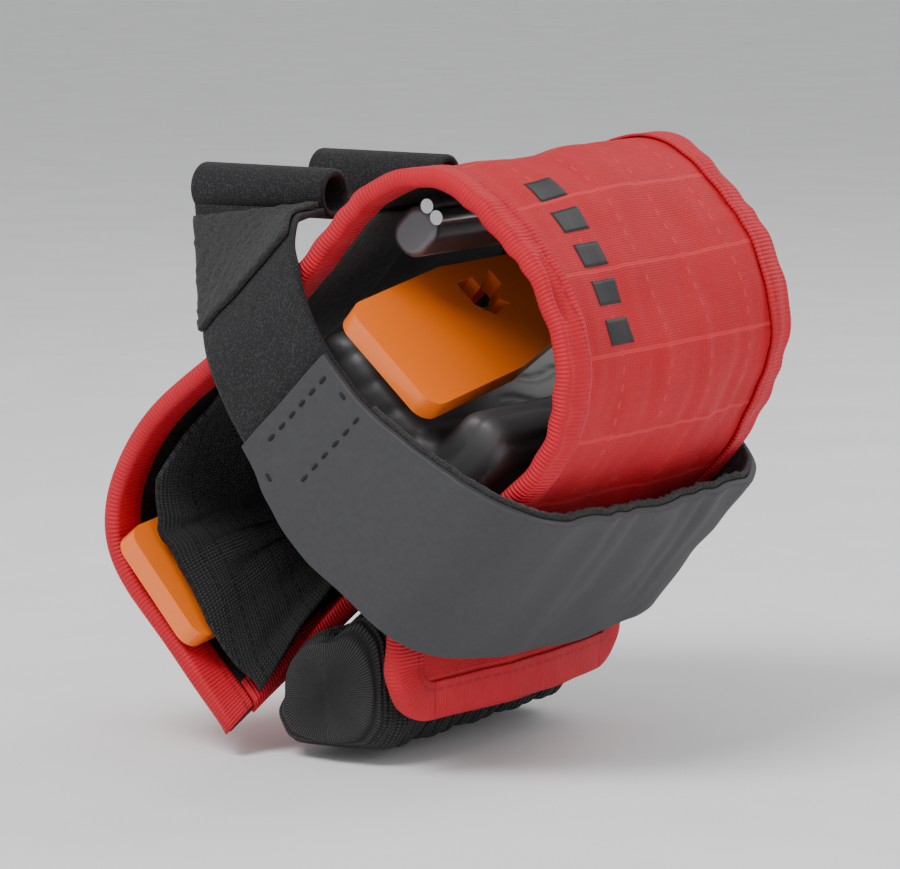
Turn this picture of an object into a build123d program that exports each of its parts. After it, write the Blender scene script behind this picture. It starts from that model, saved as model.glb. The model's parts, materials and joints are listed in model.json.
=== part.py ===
"""Saddle bag: a tool roll held under a bicycle saddle by one strap over the two seat rails.

Millimetres. Origin midway between the rails where the strap crosses them. +X points to the
bicycle's rear, +Y to its right-hand side and +Z up. The bag hangs turned 45 degrees, so most
places are given as m (up and rearward) and n (down and rearward).
"""
import os

from build123d import *

os.makedirs("parts", exist_ok=True)

# Seat rails and the loops round them
RAIL_R = 3.5
RAIL_Y = 22.0
LOOP_CLEARANCE = 0.05
LOOP_T = 1.9
LOOP_W = 34.0

# Rolled panel
HALF_W = 45.0
SHELL_T = 1.2
LINING_IN = 0.9
LAYER_GAP = 0.1
BINDING_W = 8.0
BINDING_OUT = 2.1
BINDING_IN = 2.1
SLOT_OUT = 1.5
SLOT_IN = 1.3
PANEL_INSET = 1.2
FLAP_X = 45.0
FLAP_END_Z = -107.0
FLAP_CORNER_R = 12.0

# Strap
STRAP_T = 1.9
BACKING_T = 1.0
TAB_GAP = 0.35
TAB_T = 1.4
STITCH_LENGTH = 2.4
STITCH_PITCH = 3.6
STITCH_T = 0.8
STITCH_INSET = 2.2
THREAD_GAP = 0.1

# Contents
LEVER_LENGTH = 77.0
LEVER_W = 28.0
LEVER_TIP_W = 15.0
LEVER_T = 5.0
TUBE_LENGTH = 82.0
TOOL_LENGTH = 74.0
TOOL_H = 11.0
TOOL_W = 9.0
BIT_R = 1.5
CARTRIDGE_R = 9.0
CARTRIDGE_LENGTH = 60.0
SLEEVE_FIT = 0.4

UP_REAR = Vector(1, 0, 1).normalized()
DOWN_REAR = Vector(1, 0, -1).normalized()


def tilted(m, n, y):
    """A point at m up and rearward, n down and rearward and y across."""
    return UP_REAR * m + DOWN_REAR * n + Vector(0, y, 0)


def side_plane(y):
    """Sketch plane of the bag's side: its x is m and its y is n."""
    return Plane(origin=(0, y, 0), x_dir=UP_REAR, z_dir=(0, 1, 0))


def level(x, z, far=None):
    """The panel's left and right edge at one place, straight across unless far is given."""
    return Vector(x, -HALF_W, z), Vector(*far) if far else Vector(x, HALF_W, z)


# The roll's two long edges, from the loose flap's end over the top to the tucked-in end
ROLL = [
    level(FLAP_X, FLAP_END_Z),
    level(FLAP_X, -95),
    level(46, -85),
    level(60, -70),
    level(75, -56, (77, HALF_W, -53)),
    level(83, -45, (84, HALF_W, -42)),
    level(86, -31, (87, HALF_W, -28)),
    level(81, -16, (82, HALF_W, -13)),
    level(71, -3, (73, HALF_W, 0)),
    level(58, 6, (60, HALF_W, 8)),
    level(44, 4, (47, HALF_W, 5)),
    level(27, -11),
    level(-1, -36),
    level(-20, -54),
    level(-26, -72, (-21, HALF_W, -67)),
    level(-13, -92, (-6, 43, -82)),
    level(-4, -103, (9, 36, -77)),
    level(4, -113, (24, 24, -60)),
]

# The strap's upper and lower edge, from the left rail under the bag
STRAP_HALF = [
    (Vector(LOOP_W / 2, -25.8, -2.6), Vector(-LOOP_W / 2, -25.8, -2.6)),
    (tilted(11.5, 14, -38), tilted(-21.5, 13, -38)),
    (tilted(8.5, 25, -47.6), tilted(-22.5, 23.5, -47.6)),
    (tilted(5, 38, -49.8), tilted(-25, 36, -49.8)),
    (tilted(3.2, 55, -50.8), tilted(-28.5, 55, -50.8)),
    (tilted(5.5, 68, -51), tilted(-31, 68, -51)),
    (tilted(9.5, 82, -51), tilted(-28.5, 84, -51)),
    (tilted(13, 93, -49.5), tilted(-27, 96, -49.5)),
    (tilted(15, 100.5, -41), tilted(-25, 104, -41)),
    (tilted(15.5, 102.5, -26), tilted(-23.5, 107.5, -26)),
    (tilted(14.5, 102.5, -9), tilted(-24, 108.5, -9)),
]
STRAP = STRAP_HALF + [
    (Vector(upper.X, -upper.Y, upper.Z), Vector(lower.X, -lower.Y, lower.Z))
    for upper, lower in reversed(STRAP_HALF)
]
SEAM = 4


def shares(edges):
    """How far along the band each pair of edge points lies, from 0 to 1."""
    middles = [(left + right) * 0.5 for left, right in edges]
    run = [0.0]
    for here, there in zip(middles, middles[1:]):
        run.append(run[-1] + (there - here).length)
    return [distance / run[-1] for distance in run]


def stretch(edges, start, stop, count):
    """Edge points evenly spaced between two places, counted in the list's own steps."""
    knots = shares(edges)
    lines = [Edge.make_spline([pair[k] for pair in edges], parameters=knots) for k in (0, 1)]
    found = []
    for i in range(count):
        place = start + (stop - start) * i / (count - 1)
        low = min(int(place), len(knots) - 2)
        share = knots[low] + (place - low) * (knots[low + 1] - knots[low])
        found.append(tuple(Vector(*line.position_at(share, PositionMode.PARAMETER))
                           for line in lines))
    return found


def inward_at(edges, side, i):
    """Unit direction out of the band toward its inner side; one for both edges at the ends."""
    ahead, behind = edges[min(i + 1, len(edges) - 1)], edges[max(i - 1, 0)]
    across = (edges[i][1] - edges[i][0]).normalized()
    along = ahead[side] - behind[side]
    if i in (0, len(edges) - 1):
        along = (ahead[0] + ahead[1]) * 0.5 - (behind[0] + behind[1]) * 0.5
    return along.cross(across).normalized()


def band(edges, outline):
    """Solid band; outline(width, i) gives its cross-section's corners as (across, inward)."""
    rows = []
    for i, (left, right) in enumerate(edges):
        width = (right - left).length
        across = (right - left).normalized()
        sides = [inward_at(edges, 0, i), inward_at(edges, 1, i)]
        rows.append([left + across * u + sides[u > width / 2] * v for u, v in outline(width, i)])
    knots = shares(edges)
    seams = [Edge.make_spline([row[k] for row in rows], parameters=knots)
             for k in range(len(rows[0]))]
    faces = [Face.make_surface_from_curves(a, b) for a, b in zip(seams, seams[1:] + seams[:1])]
    faces.append(Face(Wire.make_polygon(rows[0], close=True)))
    faces.append(Face(Wire.make_polygon(rows[-1], close=True)))
    return Solid(Shell(faces))


def sheet(outer, inner, left=0.0, right=0.0):
    """Cross-section of a plain sheet, inset from the two long edges."""
    return lambda width, i: [
        (left, outer), (width - right, outer), (width - right, inner), (left, inner)]


def save(built, name):
    part = built.part
    part.label = name
    export_step(part, f"parts/{name}.step")
    print(name, len(part.solids()), round(part.volume), part.is_valid, flush=True)


# Outer panel, lining and the bound edges ---------------------------------------------------
with BuildPart() as flap_corners:
    with BuildSketch(Plane.YZ.offset(FLAP_X - 10)):
        with Locations((0, FLAP_END_Z)):
            Rectangle(2 * HALF_W + 10, 2 * FLAP_CORNER_R)
        with Locations((0, FLAP_END_Z + 2 * FLAP_CORNER_R)):
            RectangleRounded(2 * HALF_W, 4 * FLAP_CORNER_R, FLAP_CORNER_R, mode=Mode.SUBTRACT)
    extrude(amount=20)

with BuildPart() as outer_panel:
    add(band(ROLL, sheet(-SHELL_T, 0, PANEL_INSET, PANEL_INSET)))
    add(flap_corners.part, mode=Mode.SUBTRACT)
save(outer_panel, "outer_panel")

with BuildPart() as inner_lining:
    add(band(ROLL, sheet(LAYER_GAP, LINING_IN, PANEL_INSET, PANEL_INSET)))
    add(flap_corners.part, mode=Mode.SUBTRACT)
save(inner_lining, "inner_lining")


def folded_left(width, i):
    """Tape folded over the left edge."""
    return [(0, -BINDING_OUT), (BINDING_W, -BINDING_OUT), (BINDING_W, -SLOT_OUT),
            (0.9, -SLOT_OUT), (0.9, SLOT_IN), (BINDING_W, SLOT_IN),
            (BINDING_W, BINDING_IN), (0, BINDING_IN)]


def folded_right(width, i):
    """Tape folded over the right edge."""
    return [(width - u, v) for u, v in folded_left(width, i)]


with BuildPart() as left_edge_binding:
    add(band(ROLL, folded_left))
    add(flap_corners.part, mode=Mode.SUBTRACT)
save(left_edge_binding, "left_edge_binding")

with BuildPart() as right_edge_binding:
    add(band(ROLL, folded_right))
    add(flap_corners.part, mode=Mode.SUBTRACT)
save(right_edge_binding, "right_edge_binding")

with BuildPart() as flap_end_binding:
    with Locations((FLAP_X + (SLOT_OUT + BINDING_OUT) / 2, 0, FLAP_END_Z + 3.5)):
        Box(BINDING_OUT - SLOT_OUT, 2 * (HALF_W - BINDING_W - 0.2), 9)
    with Locations((FLAP_X - (SLOT_IN + BINDING_IN) / 2, 0, FLAP_END_Z + 3.5)):
        Box(BINDING_IN - SLOT_IN, 2 * (HALF_W - BINDING_W - 0.2), 9)
    with Locations((FLAP_X + (BINDING_OUT - BINDING_IN) / 2, 0, FLAP_END_Z - 0.6)):
        Box(BINDING_OUT + BINDING_IN, 2 * (HALF_W - BINDING_W - 0.2), 0.8)
save(flap_end_binding, "flap_end_binding")


with BuildPart() as tucked_end_binding:
    last = stretch(ROLL, len(ROLL) - 1.55, len(ROLL) - 1, 4)
    beyond = [edge + (edge - earlier).normalized() for edge, earlier in zip(last[-1], last[-2])]
    margin = BINDING_W + 0.3
    add(band(last + [tuple(beyond)], sheet(SLOT_IN + 0.5, BINDING_IN + 0.5, margin, margin)))
    add(band(last + [tuple(beyond)], sheet(-BINDING_OUT, -SLOT_OUT, margin, margin)))
save(tucked_end_binding, "tucked_end_binding")

# Pockets on the lining -----------------------------------------------------------------------
POCKET_START = 12
POCKET_RISE = [2.0, 8.0, 14.0, 14.0, 11.0, 4.0]
POCKET_T = 1.2
POCKET_MOUTH = [9.5, 9.5, 3.0, 2.0, 2.0, 9.5]
POCKET_FAR = 9.5


def pocket_outline(width, i):
    """Stretchy face standing off the lining, with its sewn far side coming down to it."""
    rise = POCKET_RISE[i]
    far = width - POCKET_FAR
    mouth = POCKET_MOUTH[i]
    return [(mouth, rise), (far - POCKET_T, rise), (far - POCKET_T, 1.9),
            (far, 1.9), (far, rise + POCKET_T), (mouth, rise + POCKET_T)]


with BuildPart() as lever_pocket:
    add(band(ROLL[POCKET_START:], pocket_outline))
save(lever_pocket, "lever_pocket")

with BuildPart() as tool_pocket:
    add(band(stretch(ROLL, 10.3, 11.8, 6), sheet(1.1, 1.9, 10, 56)))
save(tool_pocket, "tool_pocket")

with BuildPart() as hook_patch:
    add(band(stretch(ROLL, 0.75, 1.9, 5), sheet(1.1, 2.4, 9, 9)))
save(hook_patch, "hook_patch")

# Stuffed sleeve behind the flap, with a bore for the gas cartridge
CARTRIDGE_X = 26.0
CARTRIDGE_Z = -102.5
with BuildPart() as lower_sleeve:
    with BuildSketch(Plane.XZ.offset(40)) as near_side:
        Polygon((10, -109), (13, -116), (38, -115), (42, -109), (42, -87), (36, -81), align=None)
        fillet(near_side.vertices(), 2)
    with BuildSketch(Plane.XZ.offset(-40)) as far_side:
        Polygon((10, -107), (13, -115), (38, -114), (42, -108), (42, -87), (34, -68), align=None)
        fillet(far_side.vertices(), 2)
    loft(ruled=True)
    with BuildSketch(Plane.XZ.offset(34.5)):
        with Locations((CARTRIDGE_X, CARTRIDGE_Z)):
            Circle(CARTRIDGE_R + SLEEVE_FIT)
    extrude(amount=-90, mode=Mode.SUBTRACT)
save(lower_sleeve, "lower_sleeve")

# Printed bars on the outside ---------------------------------------------------------------
with BuildPart() as printed_bars:
    for k in range(5):
        start = 6.0 + 0.5 * k
        add(band(stretch(ROLL, start, start + 0.3, 3),
                 sheet(-SHELL_T - 0.4, -SHELL_T - 0.12, 17, 2 * HALF_W - 26)))
save(printed_bars, "printed_bars")


# Strap --------------------------------------------------------------------------------------
def rail_loop(sign):
    """Wall of the loop round one rail."""
    with BuildSketch(Plane.YZ.offset(-LOOP_W / 2)) as wall:
        with Locations((sign * RAIL_Y, 0)):
            Circle(RAIL_R + LOOP_CLEARANCE + LOOP_T)
    extrude(wall.sketch, amount=LOOP_W)


def rail_bore(sign):
    """Room for one rail."""
    with BuildSketch(Plane.YZ.offset(-LOOP_W)) as bore:
        with Locations((sign * RAIL_Y, 0)):
            Circle(RAIL_R + LOOP_CLEARANCE)
    extrude(bore.sketch, amount=2 * LOOP_W, mode=Mode.SUBTRACT)


UNDER = sheet(0.05, STRAP_T - 0.4)
with BuildPart() as left_strap:
    rail_loop(-1)
    add(band(stretch(STRAP, 0, SEAM + 0.6, 11), UNDER))
    rail_bore(-1)
save(left_strap, "left_strap")

END = len(STRAP) - 1
with BuildPart() as right_strap:
    rail_loop(1)
    add(band(stretch(STRAP, END - SEAM - 0.6, END, 11), UNDER))
    rail_bore(1)
save(right_strap, "right_strap")

with BuildPart() as strap_gripper:
    add(band(stretch(STRAP, SEAM - 0.25, END - SEAM + 0.25, 25), sheet(-STRAP_T, 0)))
save(strap_gripper, "strap_gripper")

with BuildPart() as strap_backing:
    add(band(stretch(STRAP, SEAM + 0.75, END - SEAM - 0.75, 23),
             sheet(LAYER_GAP, LAYER_GAP + BACKING_T, -0.6, -0.6)))
save(strap_backing, "strap_backing")


def stitches(first, last):
    """Box stitch across the strap: two rows and the short rows closing them."""
    rows = stretch(STRAP, first, last, 3)
    for edge, (upper, lower) in enumerate(rows):
        across = (lower - upper).normalized()
        inward = inward_at(rows, 0, edge)
        width = (lower - upper).length
        count = int((width - 5) / STITCH_PITCH) if edge != 1 else 1
        places = [2.5 + STITCH_LENGTH / 2 + STITCH_PITCH * k for k in range(count)]
        if edge == 1:
            places = [STITCH_INSET, width - STITCH_INSET]
        for place in places:
            centre = upper + across * place - inward * (STRAP_T + STITCH_T / 2 + THREAD_GAP)
            with Locations(Plane(origin=centre, x_dir=across, z_dir=inward)):
                if edge == 1:
                    Box(STITCH_T, STITCH_LENGTH, STITCH_T)
                else:
                    Box(STITCH_LENGTH, STITCH_T, STITCH_T)


with BuildPart() as left_seam_stitching:
    stitches(SEAM - 0.15, SEAM + 0.4)
save(left_seam_stitching, "left_seam_stitching")

with BuildPart() as right_seam_stitching:
    stitches(END - SEAM + 0.15, END - SEAM - 0.4)
save(right_seam_stitching, "right_seam_stitching")

TAB = sheet(-TAB_GAP - TAB_T, -TAB_GAP)
with BuildPart() as left_tab:
    add(band(stretch(STRAP, 0.32, 1.3, 5), TAB))
save(left_tab, "left_tab")

with BuildPart() as right_tab:
    add(band(stretch(STRAP, END - 1.3, END - 0.32, 5), TAB))
save(right_tab, "right_tab")


# Contents -----------------------------------------------------------------------------------
def tyre_lever(near_end, axis, width_hint):
    """Flat lever, broad handle first, with a hooked spoke slot, lying along axis."""
    length_dir = axis.normalized()
    width_dir = (width_hint - length_dir * width_hint.dot(length_dir)).normalized()
    face = Plane(origin=near_end, x_dir=length_dir, z_dir=length_dir.cross(width_dir))
    with BuildSketch(face.offset(-LEVER_T / 2)) as outline:
        Polygon((0, -LEVER_W / 2), (30, -LEVER_W / 2), (55, -LEVER_TIP_W / 2 - 2),
                (LEVER_LENGTH, -LEVER_TIP_W / 2), (LEVER_LENGTH, LEVER_TIP_W / 2),
                (55, LEVER_TIP_W / 2 + 2), (30, LEVER_W / 2), (0, LEVER_W / 2), align=None)
        fillet(outline.vertices(), 4)
        Polygon((31, -9), (36, -9), (36, -6), (42, -9), (42, -5), (38, -2), (40, 0),
                (34, 1), (31, -3), align=None, mode=Mode.SUBTRACT)
    extrude(outline.sketch, amount=LEVER_T)


with BuildPart() as upper_tyre_lever:
    tyre_lever(tilted(10.6, 55, -48), tilted(0.21, -0.06, 0.975), DOWN_REAR)
save(upper_tyre_lever, "upper_tyre_lever")

with BuildPart() as lower_tyre_lever:
    tyre_lever(Vector(-11.6, -47.5, -83.2), Vector(3.6, 83.5, 11.7), Vector(0.6, 0, -0.8))
save(lower_tyre_lever, "lower_tyre_lever")

with BuildPart() as inner_tube:
    with BuildSketch(side_plane(-41)):
        with Locations((-8.5, 61.5)):
            RectangleRounded(25, 49, 7)
        with Locations((4, 78.5)):
            RectangleRounded(28, 15, 7.4)
    extrude(amount=TUBE_LENGTH)
    fillet(inner_tube.faces().filter_by(Axis.Y).edges(), 4)
save(inner_tube, "inner_tube")

with BuildPart() as valve_stem:
    with BuildSketch(Plane(origin=tilted(4.05, 64, 30), x_dir=(0, 1, 0), z_dir=UP_REAR)):
        Circle(3)
    extrude(amount=27)
save(valve_stem, "valve_stem")

with BuildPart() as valve_cap:
    with BuildSketch(Plane(origin=tilted(31.1, 64, 30), x_dir=(0, 1, 0), z_dir=UP_REAR)):
        Circle(3.4)
    extrude(amount=7)
    fillet(valve_cap.faces().sort_by(Axis.Z)[-1].edges(), 1.5)
save(valve_cap, "valve_cap")

with BuildPart() as tool_handle:
    with BuildSketch(side_plane(-36)):
        with Locations((28.6, 36)):
            RectangleRounded(TOOL_H, TOOL_W, 4)
    extrude(amount=TOOL_LENGTH)
    fillet(tool_handle.faces().filter_by(Axis.Y).edges(), 1.5)
save(tool_handle, "tool_handle")

with BuildPart() as tool_bits:
    for n in (35.2, 38.4):
        with BuildSketch(side_plane(-38)):
            with Locations((34.1 + BIT_R + 0.1, n)):
                Circle(BIT_R)
        extrude(amount=60)
save(tool_bits, "tool_bits")

with BuildPart() as gas_cartridge:
    with BuildSketch(Plane.XZ.offset(34)):
        with Locations((CARTRIDGE_X, CARTRIDGE_Z)):
            Circle(CARTRIDGE_R)
    extrude(amount=-CARTRIDGE_LENGTH)
    fillet(gas_cartridge.faces().sort_by(Axis.Y)[0].edges(), 4)
    fillet(gas_cartridge.faces().sort_by(Axis.Y)[-1].edges(), 4)
save(gas_cartridge, "gas_cartridge")

with BuildPart() as inflator_head:
    with BuildSketch(Plane.XZ.offset(34 - CARTRIDGE_LENGTH - 0.05)):
        with Locations((CARTRIDGE_X, CARTRIDGE_Z)):
            Circle(CARTRIDGE_R - 1.5)
    extrude(amount=-12)
    fillet(inflator_head.faces().sort_by(Axis.Y)[-1].edges(), 2)
save(inflator_head, "inflator_head")
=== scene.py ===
"""Looks for the saddle bag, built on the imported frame. Metres, in the row's own frame."""

import json
import math

import bmesh
import bpy
import numpy as np
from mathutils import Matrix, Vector
from mathutils.bvhtree import BVHTree


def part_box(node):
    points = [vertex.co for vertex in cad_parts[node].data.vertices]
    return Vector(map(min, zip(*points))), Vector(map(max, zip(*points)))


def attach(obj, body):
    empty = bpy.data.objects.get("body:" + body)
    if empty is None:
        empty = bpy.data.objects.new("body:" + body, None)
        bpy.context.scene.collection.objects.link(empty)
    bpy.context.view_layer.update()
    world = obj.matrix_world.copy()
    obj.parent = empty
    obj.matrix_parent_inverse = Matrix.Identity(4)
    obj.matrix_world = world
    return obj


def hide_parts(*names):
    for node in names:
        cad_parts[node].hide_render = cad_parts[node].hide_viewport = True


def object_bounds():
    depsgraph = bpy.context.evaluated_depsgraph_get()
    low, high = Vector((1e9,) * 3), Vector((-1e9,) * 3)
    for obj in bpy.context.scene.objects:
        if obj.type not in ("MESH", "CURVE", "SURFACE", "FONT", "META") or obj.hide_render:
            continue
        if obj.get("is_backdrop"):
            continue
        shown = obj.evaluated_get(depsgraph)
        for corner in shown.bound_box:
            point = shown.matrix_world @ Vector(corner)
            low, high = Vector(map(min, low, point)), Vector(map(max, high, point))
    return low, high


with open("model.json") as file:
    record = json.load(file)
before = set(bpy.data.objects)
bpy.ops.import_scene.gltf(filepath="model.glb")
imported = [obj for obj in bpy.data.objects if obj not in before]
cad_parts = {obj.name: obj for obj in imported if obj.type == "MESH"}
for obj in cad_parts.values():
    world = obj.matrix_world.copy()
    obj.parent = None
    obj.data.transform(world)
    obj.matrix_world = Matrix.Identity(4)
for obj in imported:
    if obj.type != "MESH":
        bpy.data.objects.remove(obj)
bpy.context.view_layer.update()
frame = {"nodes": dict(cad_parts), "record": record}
NODES = frame["nodes"]
MM = 0.001

# Directions of the bag: m up and rearward, n down and rearward
M_DIR = Vector((1, 0, 1)).normalized()
N_DIR = Vector((1, 0, -1)).normalized()
Y_DIR = Vector((0, 1, 0))


# Materials -----------------------------------------------------------------------------------
class Nodes:
    """Short way to write a node tree."""

    def __init__(self, name, color, rough, metal=0.0):
        self.mat = bpy.data.materials.new(name)
        self.mat.use_nodes = True
        self.tree = self.mat.node_tree
        self.bsdf = self.tree.nodes["Principled BSDF"]
        self.bsdf.inputs["Base Color"].default_value = (*color, 1)
        self.bsdf.inputs["Roughness"].default_value = rough
        self.bsdf.inputs["Metallic"].default_value = metal

    def link(self, a, b):
        self.tree.links.new(a, b)

    def math(self, op, a, b=None, c=None):
        node = self.tree.nodes.new("ShaderNodeMath")
        node.operation = op
        for i, x in enumerate((a, b, c)):
            if x is None:
                continue
            if isinstance(x, (int, float)):
                node.inputs[i].default_value = x
            else:
                self.link(x, node.inputs[i])
        return node.outputs[0]

    def uv(self):
        """Across and along the piece, in metres."""
        node = self.tree.nodes.new("ShaderNodeUVMap")
        node.uv_map = "UVMap"
        parts = self.tree.nodes.new("ShaderNodeSeparateXYZ")
        self.link(node.outputs[0], parts.inputs[0])
        return parts.outputs[0], parts.outputs[1], node.outputs[0]

    def place(self):
        return self.tree.nodes.new("ShaderNodeTexCoord").outputs["Object"]

    def noise(self, scale, detail=3.0, vector=None, distortion=0.0):
        node = self.tree.nodes.new("ShaderNodeTexNoise")
        node.inputs["Scale"].default_value = scale
        node.inputs["Detail"].default_value = detail
        node.inputs["Distortion"].default_value = distortion
        self.link(vector or self.place(), node.inputs["Vector"])
        return node.outputs[0]

    def line(self, coord, pitch, width, offset=0.0):
        """1 on lines of a width, one every pitch, and 0 between."""
        shifted = self.math("ADD", coord, offset)
        share = self.math("FRACT", self.math("DIVIDE", shifted, pitch))
        away = self.math("ABSOLUTE", self.math("SUBTRACT", share, 0.5))
        return self.math("LESS_THAN", away, width / pitch / 2)

    def wave(self, coord, pitch):
        """0 to 1 and back, once every pitch."""
        turn = self.math("SINE", self.math("MULTIPLY", coord, 2 * math.pi / pitch))
        return self.math("MULTIPLY_ADD", turn, 0.5, 0.5)

    def mix(self, fac, a, b):
        node = self.tree.nodes.new("ShaderNodeMix")
        node.data_type = "RGBA"
        if isinstance(fac, (int, float)):
            node.inputs[0].default_value = fac
        else:
            self.link(fac, node.inputs[0])
        for socket, value in ((node.inputs[6], a), (node.inputs[7], b)):
            if isinstance(value, tuple):
                socket.default_value = (*value, 1)
            else:
                self.link(value, socket)
        return node.outputs[2]

    def bump(self, height, distance, strength=1.0):
        node = self.tree.nodes.new("ShaderNodeBump")
        node.inputs["Strength"].default_value = strength
        node.inputs["Distance"].default_value = distance
        self.link(height, node.inputs["Height"])
        self.link(node.outputs[0], self.bsdf.inputs["Normal"])

    def color(self, socket):
        self.link(socket, self.bsdf.inputs["Base Color"])


def add(*heights):
    """Sum of weighted heights: (nodes, (height, weight), ...)."""
    nodes, total = heights[0], None
    for height, weight in heights[1:]:
        part = nodes.math("MULTIPLY", height, weight)
        total = part if total is None else nodes.math("ADD", total, part)
    return total


def fabric_sheen(n, amount=0.25, rough=0.5, tint=(1, 1, 1)):
    n.bsdf.inputs["Sheen Weight"].default_value = amount
    n.bsdf.inputs["Sheen Tint"].default_value = (*tint, 1)
    n.bsdf.inputs["Specular IOR Level"].default_value = 0.3
    n.bsdf.inputs["Sheen Roughness"].default_value = rough


def ripstop():
    n = Nodes("red_ripstop", (0.48, 0.012, 0.022), 0.62)
    u, v, _ = n.uv()
    grid_v = n.line(v, 17 * MM, 0.9 * MM)
    grid_u = n.math("MULTIPLY", n.line(u, 17 * MM, 0.8 * MM, 4 * MM), n.line(v, 3.4 * MM, 1.6 * MM))
    fine = n.math("MULTIPLY", n.line(u, 4.2 * MM, 0.4 * MM), n.line(v, 2.1 * MM, 0.9 * MM))
    lines = n.math("MAXIMUM", grid_v, n.math("MAXIMUM", grid_u, n.math("MULTIPLY", fine, 0.45)))
    weave = n.math("MULTIPLY", n.wave(u, 0.55 * MM), n.wave(v, 0.55 * MM))
    mottled = n.noise(90, 4)
    base = n.mix(mottled, (0.42, 0.003, 0.010), (0.55, 0.006, 0.018))
    n.color(n.mix(n.math("MULTIPLY", lines, 0.35), base, (0.85, 0.05, 0.06)))
    n.bump(add(n, (lines, 1.0), (weave, 0.5), (n.noise(60, 3), 1.4)), 0.00025)
    fabric_sheen(n, 0.12, 0.4, (1, 0.1, 0.1))
    return n.mat


def tape():
    n = Nodes("red_tape", (0.55, 0.015, 0.03), 0.6)
    u, v, _ = n.uv()
    ribs = n.wave(v, 0.85 * MM)
    threads = n.line(v, 3.2 * MM, 2.3 * MM)
    seam = n.math("LESS_THAN", n.math("ABSOLUTE", n.math("SUBTRACT", u, 6.3 * MM)), 0.32 * MM)
    stitch = n.math("MULTIPLY", seam, threads)
    mottled = n.noise(120, 3)
    base = n.mix(mottled, (0.46, 0.004, 0.014), (0.60, 0.010, 0.026))
    n.color(n.mix(n.math("MULTIPLY", stitch, 0.6), base, (0.30, 0.004, 0.012)))
    n.bump(add(n, (ribs, 0.8), (n.noise(150, 3), 0.8), (stitch, 1.2), (seam, -2.0)), 0.00022)
    fabric_sheen(n, 0.15, 0.4, (1, 0.1, 0.1))
    return n.mat


def black_cloth(name, tone=0.012, weave=0.6 * MM, rough=0.8):
    n = Nodes(name, (tone, tone, tone * 1.05), rough)
    u, v, _ = n.uv()
    cross = n.math("MULTIPLY", n.wave(u, weave), n.wave(v, weave))
    n.bump(add(n, (cross, 1.0), (n.noise(300, 4), 1.0)), 0.0002)
    n.color(n.mix(n.noise(500, 4), (tone * 0.6,) * 3, (tone * 2.2,) * 3))
    fabric_sheen(n, 0.04)
    return n.mat


def ribbed_elastic():
    n = Nodes("ribbed_elastic", (0.016, 0.016, 0.018), 0.75)
    u, v, _ = n.uv()
    ribs = n.wave(u, 0.95 * MM)
    cross = n.wave(v, 0.7 * MM)
    groove = n.math("MULTIPLY", n.line(u, 5 * MM, 0.55 * MM), n.line(v, 2.3 * MM, 1.4 * MM))
    n.bump(add(n, (n.math("MULTIPLY", ribs, cross), 1.0), (ribs, 0.6), (groove, -2.2),
               (n.noise(400, 3), 0.4)), 0.0005)
    # Painted highlight: the rib crests are coloured lighter, as if light caught their tops.
    light = n.math("MULTIPLY", n.math("MULTIPLY", ribs, cross), 0.8)
    base = n.mix(light, (0.006, 0.006, 0.007), (0.07, 0.07, 0.074))
    # Painted shade: the sunken grooves between ribs are coloured near black.
    n.color(n.mix(groove, base, (0.002, 0.002, 0.002)))
    fabric_sheen(n, 0.04)
    return n.mat


def mesh_elastic():
    n = Nodes("mesh_elastic", (0.012, 0.012, 0.013), 0.85)
    u, v, _ = n.uv()
    holes = n.math("MULTIPLY", n.line(u, 1.3 * MM, 0.6 * MM), n.line(v, 1.3 * MM, 0.6 * MM))
    n.bump(add(n, (holes, -1.5), (n.noise(600, 3), 1.0)), 0.0003)
    n.color(n.mix(n.noise(900, 3), (0.005, 0.005, 0.005), (0.07, 0.07, 0.072)))
    return n.mat


def fuzzy():
    n = Nodes("fuzz", (0.01, 0.01, 0.011), 0.95)
    n.bump(n.noise(1400, 4), 0.0006)
    n.color(n.mix(n.noise(1800, 3), (0.003, 0.003, 0.003), (0.06, 0.06, 0.062)))
    fabric_sheen(n, 0.08, 0.4)
    return n.mat


def knit():
    n = Nodes("black_knit", (0.02, 0.02, 0.022), 0.85)
    u, v, _ = n.uv()
    n.bump(add(n, (n.noise(1500, 2), 1.0), (n.math("MULTIPLY", n.wave(u, 0.7 * MM),
                                                    n.wave(v, 0.5 * MM)), 0.6)), 0.0002)
    speck = n.math("GREATER_THAN", n.noise(2000, 3), 0.55)
    n.color(n.mix(speck, (0.007, 0.007, 0.008), (0.022, 0.022, 0.024)))
    fabric_sheen(n, 0.05, 0.6)
    return n.mat


def gripper():
    n = Nodes("gripper_rubber", (0.055, 0.055, 0.058), 0.62)
    n.bump(add(n, (n.noise(900, 3), 1.0), (n.noise(40, 2), 2.0)), 0.00008)
    n.color(n.mix(n.noise(700, 2), (0.040, 0.040, 0.043), (0.054, 0.054, 0.058)))
    n.bsdf.inputs["Specular IOR Level"].default_value = 0.3
    return n.mat


def smooth(name, color, rough, metal=0.0, grain=0.0, coat=0.0):
    n = Nodes(name, color, rough, metal)
    darker = tuple(c * 0.88 for c in color)
    n.color(n.mix(n.noise(30, 2), darker, color))
    n.bump(n.noise(600, 3), 0.00002 + grain)
    n.bsdf.inputs["Coat Weight"].default_value = coat
    return n.mat


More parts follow.
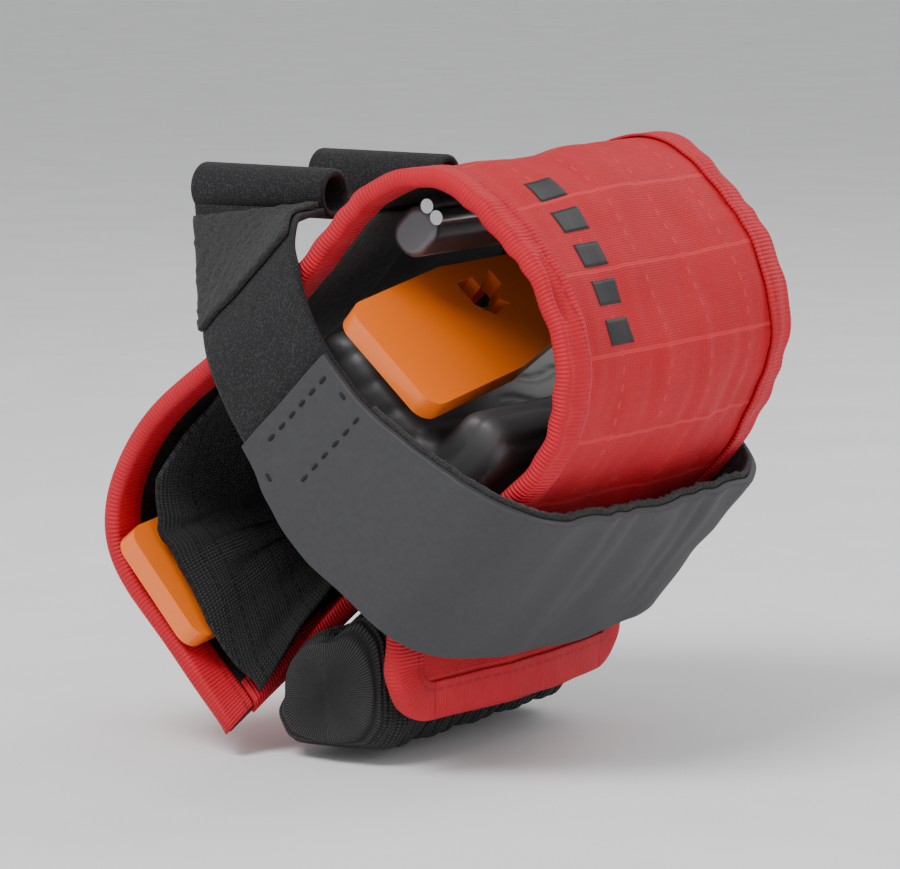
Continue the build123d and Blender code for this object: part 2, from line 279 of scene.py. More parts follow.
MATS = {
    "red_ripstop": ripstop(),
    "red_tape": tape(),
    "black_lining": black_cloth("black_lining"),
    "ribbed_elastic": ribbed_elastic(),
    "mesh_elastic": mesh_elastic(),
    "hook_tape": fuzzy(),
    "loop_tape": fuzzy(),
    "black_knit": knit(),
    "gripper_rubber": gripper(),
    "black_print": smooth("black_print", (0.008, 0.008, 0.009), 0.6),
    "black_thread": smooth("black_thread", (0.004, 0.004, 0.004), 0.8),
    "orange_plastic": smooth("orange_plastic", (1.0, 0.19, 0.008), 0.34, coat=0.3),
    "butyl_rubber": smooth("butyl_rubber", (0.055, 0.054, 0.056), 0.52, grain=0.00003),
    "brass_valve": smooth("brass_valve", (0.62, 0.60, 0.56), 0.3, 1.0),
    "cap_plastic": smooth("cap_plastic", (0.02, 0.02, 0.02), 0.5),
    "grey_alloy": smooth("grey_alloy", (0.13, 0.13, 0.14), 0.35, 0.6),
    "bit_steel": smooth("bit_steel", (0.62, 0.62, 0.64), 0.28, 1.0),
    "cartridge_steel": smooth("cartridge_steel", (0.55, 0.56, 0.58), 0.3, 1.0),
    "head_alloy": smooth("head_alloy", (0.06, 0.06, 0.065), 0.4, 0.8),
}
SLOT_OF = {s["node"]: s["material_slot"] for s in frame["record"]["subparts"]}


def dress(obj, node, body="bag", *stands_for):
    """Material, slot and body of a piece that stands for a CAD node."""
    slot = SLOT_OF[node]
    obj.data.materials.clear()
    obj.data.materials.append(MATS[slot])
    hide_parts(node, *stands_for)
    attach(obj, body)
    return obj


# Grids and skins -----------------------------------------------------------------------------
def mesh_tree(*names):
    points, faces = [], []
    for name in names:
        mesh = NODES[name].data
        faces += [tuple(len(points) + k for k in p.vertices) for p in mesh.polygons]
        points += [v.co.copy() for v in mesh.vertices]
    return BVHTree.FromPolygons(points, faces)


def vertices(name):
    return np.array([tuple(v.co) for v in NODES[name].data.vertices])


class Rays:
    """Rays from an axis line out to CAD nodes, by turn about the axis and place along it."""

    def __init__(self, names, origin, axis, zero, side):
        self.tree = mesh_tree(*names)
        self.origin, self.axis, self.zero, self.side = origin, axis, zero, side

    def hit(self, turn, place, outside=False):
        way = self.zero * math.cos(turn) + self.side * math.sin(turn)
        start = self.origin + self.axis * place
        if outside:
            found = self.tree.ray_cast(start + way * 0.3, -way, 0.3)[0]
        else:
            found = self.tree.ray_cast(start, way, 0.3)[0]
        return None if found is None else np.array(found)

    def far_end(self, turn, start, stop, outside=False):
        """The last point met going from start to stop along the axis."""
        best = None
        for place in np.arange(start, stop, 0.5 * MM * (1 if stop > start else -1)):
            found = self.hit(turn, place, outside)
            if found is not None:
                best = found
        return best


class Cloth:
    """Surface ruled between two edges: s along it, a across it from the first, v inward."""

    def __init__(self, first, second, inside, rows=420, columns=41):
        middle = (first + second) / 2
        run = np.concatenate([[0], np.cumsum(np.linalg.norm(np.diff(middle, axis=0), axis=1))])
        even = np.linspace(0, run[-1], rows)
        for _ in range(2):
            first, second = (np.stack([np.interp(even, run, e[:, k]) for k in range(3)], 1)
                             for e in (first, second))
            for _ in range(6):
                for e in (first, second):
                    e[1:-1] = 0.5 * e[1:-1] + 0.25 * (e[:-2] + e[2:])
            run = even
        share = np.linspace(0, 1, columns)[None, :, None]
        self.grid = first[:, None] * (1 - share) + second[:, None] * share
        middle = (first + second) / 2
        self.run = np.concatenate(
            [[0], np.cumsum(np.linalg.norm(np.diff(middle, axis=0), axis=1))])
        self.length = self.run[-1]
        self.width = np.linalg.norm(second - first, axis=1)
        self.along = self.unit(np.gradient(self.grid, axis=0))
        self.across = self.unit(np.gradient(self.grid, axis=1))
        normal = self.unit(np.cross(self.along, self.across))
        if (normal * (np.array(inside) - self.grid)).sum() < 0:
            normal = -normal
        self.normal = normal
        self.drift = lambda s, a: 0 * s

    @staticmethod
    def unit(v):
        return v / (np.linalg.norm(v, axis=-1)[..., None] + 1e-12)

    def at(self, array, s, share):
        rows, columns = self.grid.shape[:2]
        i = np.clip(np.interp(s, self.run, np.arange(rows)), 0, rows - 1.001)
        j = np.clip(share * (columns - 1), 0, columns - 1.001)
        i0, j0 = i.astype(int), j.astype(int)
        fi, fj = (i - i0)[..., None], (j - j0)[..., None]
        return ((1 - fi) * ((1 - fj) * array[i0, j0] + fj * array[i0, j0 + 1])
                + fi * ((1 - fj) * array[i0 + 1, j0] + fj * array[i0 + 1, j0 + 1]))

    def point(self, s, a, v):
        """Places in space, also a little past the cloth's own edges."""
        s, a, v = np.broadcast_arrays(*(np.asarray(x, float) for x in (s, a, v)))
        v = v + self.drift(s, a)
        width = self.width_at(s)
        share = np.clip(a / width, 0, 1)
        inside = np.clip(s, 0, self.length)
        found = self.at(self.grid, inside, share)
        found = found + self.at(self.across, inside, share) * (a - share * width)[..., None]
        found = found + self.at(self.along, inside, share) * (s - inside)[..., None]
        return found + self.at(self.normal, inside, share) * v[..., None]

    def width_at(self, s):
        return np.interp(s, self.run, self.width)

    def places(self, node):
        """(s, a) of the surface's grid points nearest to each vertex of a CAD node."""
        points = self.grid.reshape(-1, 3)
        columns = self.grid.shape[1]
        found = []
        for vertex in vertices(node):
            k = int(((points - vertex) ** 2).sum(1).argmin())
            row = k // columns
            found.append((self.run[row], self.width[row] * (k % columns) / (columns - 1)))
        return np.array(found)

    def reach(self, node):
        s = self.places(node)[:, 0]
        return s.min(), s.max()


def noise_field(seed, *sizes):
    """A smooth random field over (x, y); each size is (wavelength, height)."""
    random = np.random.default_rng(seed)
    waves = []
    for length, height in sizes:
        for _ in range(8):
            turn = random.uniform(0, 2 * math.pi)
            k = 2 * math.pi / (length * random.uniform(0.7, 1.5))
            waves.append((k * math.cos(turn), k * math.sin(turn),
                          random.uniform(0, 2 * math.pi), height / 2.8))
    return lambda x, y: sum(h * np.sin(kx * x + ky * y + p) for kx, ky, p, h in waves)


def slab(cloth, s, a, outer, inner):
    """Closed sheet on a cloth over grids of s and a, from v = outer to v = inner."""
    rows, columns = s.shape
    size = rows * columns
    layers = [cloth.point(s, a, outer), cloth.point(s, a, inner)]
    points = np.concatenate([layer.reshape(-1, 3) for layer in layers])
    uvs = np.concatenate([np.stack([a, s], -1).reshape(-1, 2)] * 2)
    faces = []
    for i in range(rows - 1):
        for j in range(columns - 1):
            k = i * columns + j
            quad = (k, k + 1, k + columns + 1, k + columns)
            faces.append(quad)
            faces.append(tuple(size + q for q in reversed(quad)))
    rim = (list(range(columns)) + [i * columns + columns - 1 for i in range(1, rows)]
           + [(rows - 1) * columns + j for j in range(columns - 2, -1, -1)]
           + [i * columns for i in range(rows - 2, 0, -1)])
    for p, q in zip(rim, rim[1:] + rim[:1]):
        faces.append((p, q, size + q, size + p))
    return points, faces, uvs


def skin(rings, uv, capped=True, looped=False):
    """Skin over rings of points, capped at both ends or looped back to the first ring."""
    count, around = rings.shape[:2]
    faces = []
    for i in range(count if looped else count - 1):
        n = (i + 1) % count
        for j in range(around):
            k = (j + 1) % around
            faces.append((i * around + j, i * around + k, n * around + k, n * around + j))
    if capped and not looped:
        faces.append(tuple(range(around)))
        faces.append(tuple((count - 1) * around + j for j in reversed(range(around))))
    return rings.reshape(-1, 3), faces, uv.reshape(-1, 2)


def piece(name, *parts):
    points, faces, uvs = [], [], []
    for part_points, part_faces, part_uvs in parts:
        faces += [tuple(len(points) + k for k in face) for face in part_faces]
        points += [tuple(p) for p in part_points]
        uvs += [tuple(p) for p in part_uvs]
    mesh = bpy.data.meshes.new(name)
    mesh.from_pydata(points, [], faces)
    layer = mesh.uv_layers.new(name="UVMap")
    for loop in mesh.loops:
        layer.data[loop.index].uv = uvs[loop.vertex_index]
    work = bmesh.new()
    work.from_mesh(mesh)
    bmesh.ops.recalc_face_normals(work, faces=work.faces)
    work.to_mesh(mesh)
    work.free()
    mesh.polygons.foreach_set("use_smooth", [True] * len(mesh.polygons))
    obj = bpy.data.objects.new(name, mesh)
    bpy.context.scene.collection.objects.link(obj)
    return obj


def soften(obj, width, angle=40):
    bevel = obj.modifiers.new("bevel", "BEVEL")
    bevel.width = width
    bevel.segments = 3
    bevel.limit_method = "ANGLE"
    bevel.angle_limit = math.radians(angle)
    bevel.harden_normals = True
    return obj


# The rolled panel as one surface -------------------------------------------------------------
LOW, HIGH = (Vector(p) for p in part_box("outer_panel"))
HALF = 45 * MM
MIDDLE = Vector(((LOW.x + HIGH.x) / 2, 0, (LOW.z + HIGH.z) / 2))
DOWN, REAR = Vector((0, 0, -1)), Vector((1, 0, 0))
roll_rays = Rays(["outer_panel"], MIDDLE, Y_DIR, DOWN, REAR)
far_rays = Rays(["right_edge_binding"], MIDDLE, Y_DIR, DOWN, REAR)
TURN = math.radians(0.5)
IN = 15 * MM


def first_turn(rays, place, start, step):
    turn = start
    while rays.hit(turn, place) is None:
        turn += step
    return turn


flap_turn = first_turn(roll_rays, 0, 0, TURN / 4)
tail_left = first_turn(roll_rays, -HALF + 1.5 * MM, 2 * math.pi - 2 * TURN, -TURN / 2)
level_stop = math.radians(284)
tail_right = level_stop
while far_rays.far_end(tail_right + TURN, 10 * MM, HALF + 2 * MM) is not None:
    tail_right += TURN
lefts, rights = [], []
for turn in np.arange(flap_turn, level_stop, TURN * 1.6):
    near, far = (roll_rays.hit(turn, place) for place in (-HALF + IN, HALF - IN))
    if near is None or far is None:
        continue
    lean = (near - far) * IN / (2 * (HALF - IN))
    lefts.append(near + lean)
    rights.append(far - lean)
for share in np.linspace(0.03, 1, 32):
    near = roll_rays.hit(level_stop + share * (tail_left - level_stop), -HALF + 1.5 * MM)
    far = far_rays.far_end(level_stop + share * (tail_right - level_stop),
                           10 * MM, HALF + 2 * MM)
    if near is None or far is None:
        continue
    near[1] = -HALF
    lefts.append(near)
    rights.append(far)
ROLL = Cloth(np.array(lefts), np.array(rights), MIDDLE)
L = ROLL.length
ROLL_INNER = ROLL.reach("lever_pocket")[0]
rear_s = ROLL.run[int((ROLL.grid[:, 20] @ np.array(N_DIR)).argmax())]
wrinkles = noise_field(4, (34 * MM, 0.55 * MM), (15 * MM, 0.2 * MM))
creases = noise_field(9, (11 * MM, 0.5 * MM))


def roll_drift(s, a):
    """The stuffed panel's swelling, wrinkles and the gathers along its bound edges."""
    width = ROLL.width_at(s)
    middle = np.sin(np.pi * np.clip(a / width, 0, 1))
    free = np.clip((ROLL_INNER - 15 * MM - s) / (30 * MM), 0, 1)
    swell = 0.5 * MM + 3.6 * MM * np.exp(-((s - rear_s) / (55 * MM)) ** 2)
    edge = np.exp(-np.minimum(a, width - a).clip(0) / (9 * MM))
    pinch = np.exp(-((s - rear_s - 95 * MM) / (40 * MM)) ** 2)
    move = -swell * middle - 0.45 * MM + wrinkles(s, a) * (0.5 + 0.5 * middle)
    move = move + 0.22 * MM * edge * np.sin(2 * np.pi * s / (8.5 * MM) + 3 * wrinkles(s, 0) / MM)
    move = move + pinch * creases(s * 0.6, a * 1.8) * (0.35 + edge)
    return move * free


ROLL.drift = roll_drift


def spread(cloth, start, stop, left, right, step=1.3 * MM, columns=None):
    """Even grids of s and a over part of a cloth; left and right are insets from its edges."""
    rows = max(int((stop - start) / step), 3)
    s = np.linspace(start, stop, rows + 1)[:, None]
    inset_l = left(s) if callable(left) else left + 0 * s
    inset_r = right(s) if callable(right) else right + 0 * s
    width = cloth.width_at(s)
    span = width - inset_l - inset_r
    columns = columns or max(int(span.max() / step), 3)
    k = np.linspace(0, 1, columns + 1)[None, :]
    a = inset_l + span * k
    return np.broadcast_to(s, a.shape), a


CORNER = 12 * MM
TAPE = 8 * MM
PANEL_INSET = 1.2 * MM


def corner_inset(s):
    """Inset of the panel's edge at the flap's rounded corners."""
    t = np.clip(CORNER - s, 0, CORNER)
    return PANEL_INSET + CORNER - np.sqrt(CORNER ** 2 - t ** 2)


s, a = spread(ROLL, 0.8 * MM, L, corner_inset, corner_inset)
panel = piece("outer_shell", slab(ROLL, s, a, -1.1 * MM, 0))
dress(panel, "outer_panel")
lining = piece("lining", slab(ROLL, s, a, 0.1 * MM, 0.9 * MM))
dress(lining, "inner_lining")


def folded_tape(path, ways, outer, inner, depth=TAPE, gap=0.7 * MM):
    """Tape folded over an edge: path of (s, a), ways pointing into the panel, leg depths."""
    half = [(depth, outer + gap), (depth, outer)]
    half += [(d, outer) for d in np.linspace(depth - 0.5 * MM, 1.2 * MM, 9)]
    turn = np.linspace(0, math.pi, 9)
    nose = [(1.1 * MM - 1.4 * MM * math.sin(t),
             (outer + inner) / 2 + (outer - inner) / 2 * math.cos(t)) for t in turn]
    back = [(d, inner) for d in np.linspace(1.2 * MM, depth - 0.5 * MM, 9)]
    back += [(depth, inner), (depth, inner - gap), (1.9 * MM, inner - gap),
             (1.6 * MM, (outer + inner) / 2), (1.9 * MM, outer + gap)]
    section = np.array(half + nose + back)
    path, ways = np.array(path), np.array(ways)
    run = np.concatenate([[0], np.cumsum(np.linalg.norm(np.diff(path, axis=0), axis=1))])
    d, v = section[:, 0], section[:, 1]
    place = path[:, None] + ways[:, None] * d[None, :, None]
    rings = ROLL.point(place[..., 0], place[..., 1], np.broadcast_to(v, place.shape[:2]))
    uv = np.stack([np.broadcast_to(d, place.shape[:2]),
                   np.broadcast_to(run[:, None], place.shape[:2])], -1)
    return skin(rings, uv)


def edge_path(right):
    """The panel's long edge from the tucked end to the end of the flap's rounded corner."""
    path, ways = [], []
    for s in np.linspace(L - 0.3 * MM, CORNER, int(L / (1.1 * MM))):
        width = float(ROLL.width_at(s))
        path.append((s, width if right else 0))
        ways.append((0, -1 if right else 1))
    width = float(ROLL.width_at(0))
    for t in np.linspace(0, math.pi / 2, 22)[1:]:
        off = CORNER * (1 - math.cos(t))
        path.append((CORNER - CORNER * math.sin(t), width - off if right else off))
        ways.append((math.sin(t), -math.cos(t) if right else math.cos(t)))
    return path, ways


OUT, BACK = -2.0 * MM, 2.0 * MM
for side, right in (("left", False), ("right", True)):
    obj = piece(f"{side}_edge_tape", folded_tape(*edge_path(right), OUT, BACK))
    dress(obj, f"{side}_edge_binding")
wide = float(ROLL.width_at(0))
line = [(0, a) for a in np.linspace(CORNER + 0.1 * MM, wide - CORNER - 0.1 * MM, 60)]
obj = piece("flap_end_tape", folded_tape(line, [(1, 0)] * 60, OUT, BACK))
dress(obj, "flap_end_binding")
wide = float(ROLL.width_at(L))
line = [(L + 0.6 * MM, a) for a in np.linspace(TAPE + 0.4 * MM, wide - TAPE - 0.4 * MM, 70)]
obj = piece("tucked_end_tape", folded_tape(line, [(-1, 0)] * 70, OUT, 2.5 * MM))
dress(obj, "tucked_end_binding")

# Pieces on the lining ------------------------------------------------------------------------
start, stop = ROLL.reach("hook_patch")
lumps = noise_field(21, (9 * MM, 0.45 * MM), (3 * MM, 0.25 * MM))
s, a = spread(ROLL, start, stop, 9 * MM, 9 * MM, 0.8 * MM)
obj = piece("hook_band", slab(ROLL, s, a, 1.1 * MM, 2.2 * MM + lumps(s, a).clip(-0.5 * MM, 1)))
dress(obj, "hook_patch")

start, stop = ROLL.reach("tool_pocket")
found = ROLL.places("tool_pocket")[:, 1]
s, a = spread(ROLL, start, stop, found.min(), ROLL.width_at(start) - found.max())
obj = piece("tool_sleeve", slab(ROLL, s, a, 1.1 * MM, 1.9 * MM))
dress(obj, "tool_pocket")

pocket_tree = mesh_tree("lever_pocket")
start, stop = ROLL.reach("lever_pocket")
MOUTH = 9.5 * MM
stations = np.linspace(start + MM, stop - MM, 40)
rises = []
for place in stations:
    foot = ROLL.point(place, 20 * MM, 0)
    way = ROLL.at(ROLL.normal, np.array(place), np.array(0.25))
    found = pocket_tree.ray_cast(Vector(foot), Vector(way), 0.03)
    rises.append(found[3] if found[3] else (rises[-1] if rises else 2 * MM))
rises = np.convolve(np.pad(rises, 2, mode="edge"), np.ones(5) / 5, mode="valid")


def pocket_mouth(s):
    """The pocket's mouth reaches over the edge tape except toward the pocket's two ends."""
    share = (s - start) / (stop - start)
    opened = np.clip((share - 0.12) / 0.2, 0, 1) * np.clip((0.97 - share) / 0.2, 0, 1)
    return MOUTH - 7 * MM * opened


s, a = spread(ROLL, start, stop, pocket_mouth, MOUTH, 1.0 * MM)
height = np.interp(s, stations, rises)
width = ROLL.width_at(s)
droop = 1 - 0.2 * np.exp(-(a - 2 * MM) / (6 * MM))
down = np.clip((width - MOUTH - a) / (5 * MM), 0, 1) ** 0.5
puff = noise_field(33, (16 * MM, 0.5 * MM))(s, a)
under = 1.9 * MM + (height * droop - 1.9 * MM).clip(0) * down + (puff.clip(-0.3 * MM, 1) * down)
obj = piece("elastic_pocket", slab(ROLL, s, a, under, under + 1.1 * MM))
dress(obj, "lever_pocket")

# Printed bars on the outside
found = ROLL.places("printed_bars")
order = np.sort(found[:, 0])
breaks = np.where(np.diff(order) > 2.5 * MM)[0]
groups = np.split(order, breaks + 1)
bars = []
for group in groups:
    s, a = spread(ROLL, group.min(), max(group.max(), group.min() + 2 * MM),
                  found[:, 1].min(), ROLL.width_at(0) - found[:, 1].max(), 0.7 * MM)
    bars.append(slab(ROLL, s, a, -1.2 * MM, -1.11 * MM))
obj = piece("printed_marks", *bars)
dress(obj, "printed_bars")

# Strap ---------------------------------------------------------------------------------------
AXIS_N = 48 * MM
strap_axis = N_DIR * AXIS_N
inner_rays = Rays(["strap_gripper"], strap_axis, M_DIR, -N_DIR, -Y_DIR)
outer_rays = Rays(["left_strap"], strap_axis, M_DIR, -N_DIR, -Y_DIR)
STRAP_MIDDLE, STRAP_TOP, STRAP_BOTTOM = -8 * MM, 22 * MM, -36 * MM
uppers, lowers = [], []
rail = next(m for m in frame["record"]["mounts"] if m["name"] == "left_rail")
rail_at = Vector(rail["pos_m"])
LOOP_HALF = 17 * MM
foot = rail_at + Vector((0, -3.8 * MM, -2.6 * MM))
uppers.append(np.array(foot + Vector((LOOP_HALF, 0, 0))))
lowers.append(np.array(foot - Vector((LOOP_HALF, 0, 0))))
for turn in np.radians(np.arange(49.5, 180.1, 1.0)):
    tops, bottoms = [], []
    for rays, outside in ((inner_rays, False), (outer_rays, True)):
        tops.append(rays.far_end(turn, STRAP_MIDDLE, STRAP_TOP, outside))
        bottoms.append(rays.far_end(turn, STRAP_MIDDLE, STRAP_BOTTOM, outside))
    tops = [p for p in tops if p is not None]
    bottoms = [p for p in bottoms if p is not None]
    if tops and bottoms:
        uppers.append(max(tops, key=lambda p: p @ np.array(M_DIR)))
        lowers.append(min(bottoms, key=lambda p: p @ np.array(M_DIR)))
flip = np.array([1, -1, 1])
uppers = np.array(uppers + [p * flip for p in reversed(uppers[:-1])])
lowers = np.array(lowers + [p * flip for p in reversed(lowers[:-1])])
STRAP = Cloth(uppers, lowers, strap_axis)
ripple = noise_field(55, (30 * MM, 0.35 * MM), (12 * MM, 0.12 * MM))
STRAP.drift = lambda s, a: (ripple(s, a).clip(-0.6 * MM, 0.25 * MM)
                            * np.clip(np.minimum(s, STRAP.length - s) / (15 * MM), 0, 1))
EDGE = 0.2 * MM


def rail_loop(centre):
    """Wall of the loop round one rail, with soft ends."""
    inner, outer = 3.6 * MM, 5.35 * MM
    around = np.linspace(0, 2 * math.pi, 65)[:-1]
    turn = np.linspace(0, math.pi, 7)
    wall = (outer - inner) / 2
    section = [(LOOP_HALF - wall + wall * math.sin(t), (outer + inner) / 2 + wall * math.cos(t))
               for t in turn]
    section += [(-x, 2 * (outer + inner) / 2 - r) for x, r in section]
    rows = []
    for x, r in section:
        rows.append([(centre.x + x, centre.y + r * math.cos(t), centre.z + r * math.sin(t))
                     for t in around])
    rings = np.array(rows)
    run = np.broadcast_to((around * outer)[None, :], rings.shape[:2])
    uv = np.stack([rings[..., 0], run], -1)
    return skin(rings, uv, looped=True)


low_s, high_s = STRAP.reach("strap_gripper")
seam_left = STRAP.places("left_seam_stitching")[:, 0]
back_low, back_high = STRAP.reach("strap_backing")
under_stop = seam_left.max() + 4 * MM
for side, sign in (("left", -1), ("right", 1)):
    ends = (0, under_stop) if sign < 0 else (STRAP.length - under_stop, STRAP.length)
    s, a = spread(STRAP, *ends, EDGE, EDGE, 1.2 * MM)
    centre = Vector((rail_at.x, sign * abs(rail_at.y), rail_at.z))
    obj = piece(f"{side}_strap_end", slab(STRAP, s, a, 0.05 * MM, 1.4 * MM), rail_loop(centre))
    dress(obj, f"{side}_strap")
s, a = spread(STRAP, low_s, high_s, EDGE, EDGE, 1.2 * MM)
obj = piece("gripper_panel", slab(STRAP, s, a, -1.8 * MM, 0))
dress(soften(obj, 0.5 * MM, 60), "strap_gripper")
s, a = spread(STRAP, back_low, back_high, -0.6 * MM, -0.6 * MM, 1.0 * MM)
fuzz = noise_field(77, (2.2 * MM, 0.3 * MM))(s, a).clip(-0.25 * MM, 0.4 * MM)
obj = piece("fuzzy_backing", slab(STRAP, s, a, 0.1 * MM, 1.2 * MM + fuzz))
dress(obj, "strap_backing")


def thread(cloth, s, a, along, length, height):
    """One stitch: a short rounded thread lying on the cloth."""
    steps = np.linspace(-1, 1, 9)
    around = np.linspace(0, 2 * math.pi, 9)[:-1]
    rows = []
    for t in steps:
        r = 0.42 * MM * math.sqrt(max(1 - t ** 4, 0.02))
        ds, da = (t * length / 2, 0) if along else (0, t * length / 2)
        side = r * np.cos(around)
        rows.append(cloth.point(s + ds + (0 if along else side), a + da + (side if along else 0),
                                -height - r * 0.8 * np.sin(around)
                                + 0.25 * MM * t * t))
    rings = np.array(rows)
    return skin(rings, np.zeros(rings.shape[:2] + (2,)))


rows_at = (np.quantile(seam_left, 0.1), np.quantile(seam_left, 0.9))
for side, sign in (("left", -1), ("right", 1)):
    threads = []
    places = rows_at if sign < 0 else [STRAP.length - x for x in rows_at]
    width = float(STRAP.width_at(places[0]))
    for place in places:
        for k in range(int((width - 5 * MM) / (3.6 * MM))):
            threads.append(thread(STRAP, place, 3.7 * MM + 3.6 * MM * k, False,
                                  2.4 * MM, 1.85 * MM))
    for a in (2.2 * MM, width - 2.2 * MM):
        threads.append(thread(STRAP, sum(places) / 2, a, True, 2.4 * MM, 1.85 * MM))
    obj = piece(f"{side}_seam_threads", *threads)
    dress(obj, f"{side}_seam_stitching")

tab_low, tab_high = STRAP.reach("left_tab")
for side, sign in (("left", -1), ("right", 1)):
    ends = (tab_low, tab_high)
    if sign > 0:
        ends = (STRAP.length - tab_high, STRAP.length - tab_low)
    s, a = spread(STRAP, *ends, 0.5 * MM, 0.5 * MM, 0.9 * MM)
    fuzz = noise_field(91 + sign, (2.5 * MM, 0.25 * MM))(s, a).clip(-0.2 * MM, 0.2 * MM)
    obj = piece(f"{side}_tail_end", slab(STRAP, s, a, -1.6 * MM + fuzz, -0.4 * MM))
    dress(obj, f"{side}_tab", f"{side}_tail")

# Stuffed sleeve behind the flap --------------------------------------------------------------
s_low, s_high = (Vector(p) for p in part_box("lower_sleeve"))
c_low, c_high = (Vector(p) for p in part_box("gas_cartridge"))
axis_at = Vector(((c_low.x + c_high.x) / 2, 0, (c_low.z + c_high.z) / 2))
sleeve_rays = Rays(["lower_sleeve"], axis_at, Y_DIR, DOWN, REAR)
BORE = 9.25 * MM
turns = np.linspace(0, 2 * math.pi, 181)[:-1]
ways = np.array([tuple(DOWN * math.cos(t) + REAR * math.sin(t)) for t in turns])
ends = (s_low.y + 0.5 * MM, s_high.y - 0.5 * MM)
stations = np.linspace(ends[0], ends[1], 110)
radii = np.array([[np.linalg.norm(sleeve_rays.hit(t, y, True) - np.array(axis_at) - (0, y, 0))
                   if sleeve_rays.hit(t, y, True) is not None else 13 * MM
                   for t in turns] for y in stations])
for _ in range(5):
    radii = 0.5 * radii + 0.25 * (np.roll(radii, 1, 1) + np.roll(radii, -1, 1))
yy, tt = np.meshgrid(stations, turns, indexing="ij")
arc = (yy - stations.mean()) + 4 * MM * np.cos(tt)
ribs = np.abs(np.sin(np.pi * arc / (5.5 * MM))) ** 0.6
scallop = np.abs(np.sin(np.pi * (yy - ends[0]) / (16 * MM))) ** 0.5
low_side = np.clip(np.cos(tt), 0, 1) ** 2
shape = radii - 0.9 * MM + 1.0 * MM * ribs - 2.8 * MM * (1 - scallop) * low_side
end_round = np.sqrt(np.clip(1 - np.clip(1 - np.minimum(yy - ends[0], ends[1] - yy)
                                        / (12 * MM), 0, 1) ** 2, 0.0, 1))
shape = (BORE + 1.2 * MM) + (shape - BORE - 1.2 * MM).clip(0.2 * MM) * (0.25 + 0.75 * end_round)


def ring(y, radius):
    return np.array(axis_at) + np.array([0, y, 0]) + ways * np.asarray(radius)[..., None]


bore_start = c_low.y - 0.3 * MM
rings = [ring(bore_start, np.full(180, BORE * 0.3)), ring(bore_start, np.full(180, BORE))]
rings += [ring(y, np.full(180, BORE)) for y in np.linspace(bore_start + MM, ends[1], 30)]
rings += [ring(y, r) for y, r in zip(stations[::-1], shape[::-1])]
rings += [ring(ends[0] - 0.45 * MM * math.sin(t), shape[0] * math.cos(t))
          for t in np.linspace(0.15, 1.5, 14)]
rings = np.array(rings)
uv = np.stack([rings[..., 1], np.broadcast_to(turns * 14 * MM, rings.shape[:2])], -1)
sleeve = piece("stuffed_sleeve", skin(rings, uv))
dress(sleeve, "lower_sleeve")

# Folded inner tube ---------------------------------------------------------------------------
source = bpy.data.objects.new("tube_source", NODES["inner_tube"].data.copy())
bpy.context.scene.collection.objects.link(source)
remesh = source.modifiers.new("remesh", "REMESH")
remesh.mode = "VOXEL"
remesh.voxel_size = 1.3 * MM
bpy.context.view_layer.update()
shaped = source.evaluated_get(bpy.context.evaluated_depsgraph_get())
mesh = bpy.data.meshes.new_from_object(shaped)
bpy.data.objects.remove(source)
work = bmesh.new()
work.from_mesh(mesh)
for _ in range(6):
    bmesh.ops.smooth_vert(work, verts=work.verts, factor=0.5, use_axis_x=True,
                          use_axis_y=True, use_axis_z=True)
work.normal_update()
fold = noise_field(63, (26 * MM, 1.6 * MM))
for vert in work.verts:
    across = vert.co.dot(N_DIR) + float(fold(vert.co.y, vert.co.dot(M_DIR)))
    level = abs(math.sin(math.pi * across / (7.5 * MM)))
    vert.co -= vert.normal * (0.9 * MM * (1 - level) ** 3 + 0.2 * MM)
work.to_mesh(mesh)
work.free()
mesh.polygons.foreach_set("use_smooth", [True] * len(mesh.polygons))
tube = bpy.data.objects.new("folded_tube", mesh)
bpy.context.scene.collection.objects.link(tube)
dress(tube, "inner_tube")

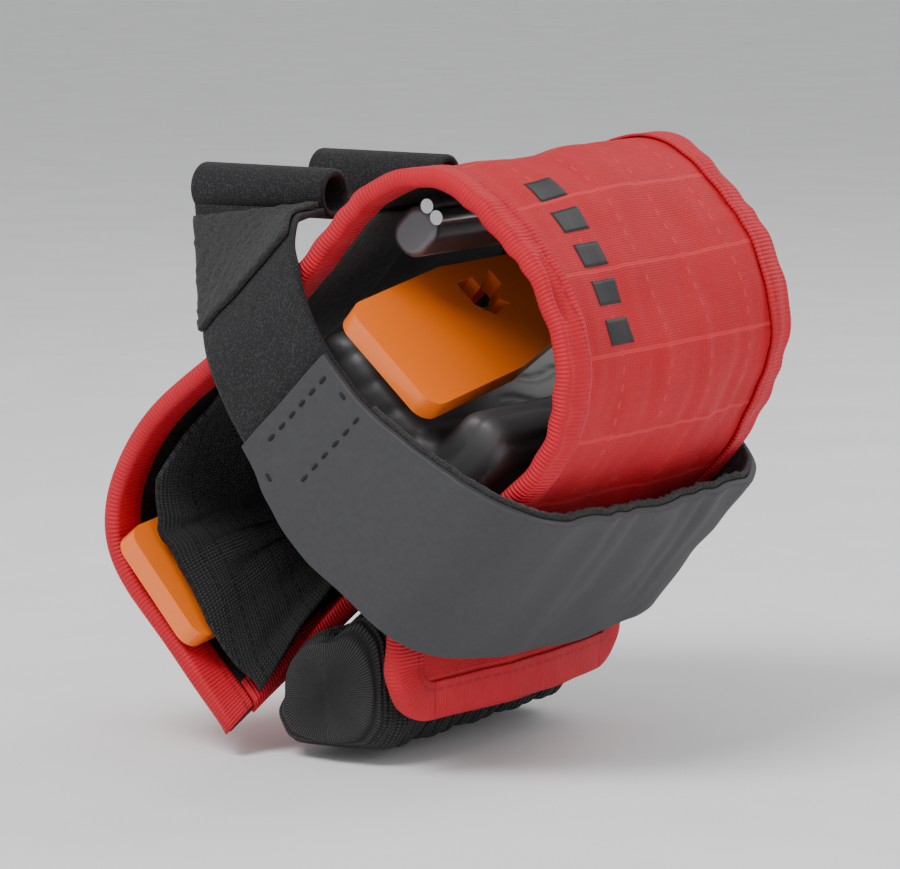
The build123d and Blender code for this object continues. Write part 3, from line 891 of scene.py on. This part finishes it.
# Hard pieces keep their CAD shape ------------------------------------------------------------
for name, width in (("upper_tyre_lever", 1.0), ("lower_tyre_lever", 1.0), ("valve_stem", 0.4),
                    ("valve_cap", 0.4), ("tool_handle", 0.6), ("tool_bits", 0.25),
                    ("gas_cartridge", 0.3), ("inflator_head", 0.5)):
    node = NODES[name]
    node.data.materials.clear()
    node.data.materials.append(MATS[SLOT_OF[name]])
    soften(node, width * MM, 35)

# Floor, light and camera ---------------------------------------------------------------------
bottom, top = (Vector(p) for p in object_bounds())
target = (bottom + top) / 2
floor_mesh = bpy.data.meshes.new("floor")
WIDE = 3.0
floor_mesh.from_pydata([(-WIDE, -WIDE, bottom.z - 2 * MM), (WIDE, -WIDE, bottom.z - 2 * MM),
                        (WIDE, WIDE, bottom.z - 2 * MM), (-WIDE, WIDE, bottom.z - 2 * MM)],
                       [], [(0, 1, 2, 3)])
floor = bpy.data.objects.new("floor", floor_mesh)
floor_mesh.materials.append(smooth("floor", (0.93, 0.93, 0.93), 0.7))
bpy.context.scene.collection.objects.link(floor)
floor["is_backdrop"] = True

world = bpy.data.worlds.new("studio")
world.use_nodes = True
world.node_tree.nodes["Background"].inputs[0].default_value = (0.93, 0.94, 0.96, 1)
world.node_tree.nodes["Background"].inputs[1].default_value = 0.62
bpy.context.scene.world = world


def lamp(name, at, size, power):
    light = bpy.data.lights.new(name, "AREA")
    light.size = size
    light.energy = power
    obj = bpy.data.objects.new(name, light)
    obj.location = target + Vector(at)
    obj.rotation_euler = (-Vector(at)).to_track_quat("-Z", "Y").to_euler()
    bpy.context.scene.collection.objects.link(obj)


lamp("key", (-0.15, -0.60, 0.85), 0.45, 9.5)
lamp("fill", (0.9, -0.3, 0.25), 0.6, 2.5)
lamp("rim", (0.3, 0.8, 0.7), 0.5, 4)

BACKWARD = Vector((0.535, -0.8333, 0.1392)).normalized()
DISTANCE = 1.014
LENS = 190
camera_data = bpy.data.cameras.new("camera")
camera_data.lens = LENS
camera_data.sensor_width = 36
camera = bpy.data.objects.new("camera", camera_data)
camera.location = target + BACKWARD * DISTANCE
camera.rotation_euler = (-BACKWARD).to_track_quat("-Z", "Y").to_euler()
bpy.context.scene.collection.objects.link(camera)
bpy.context.scene.camera = camera
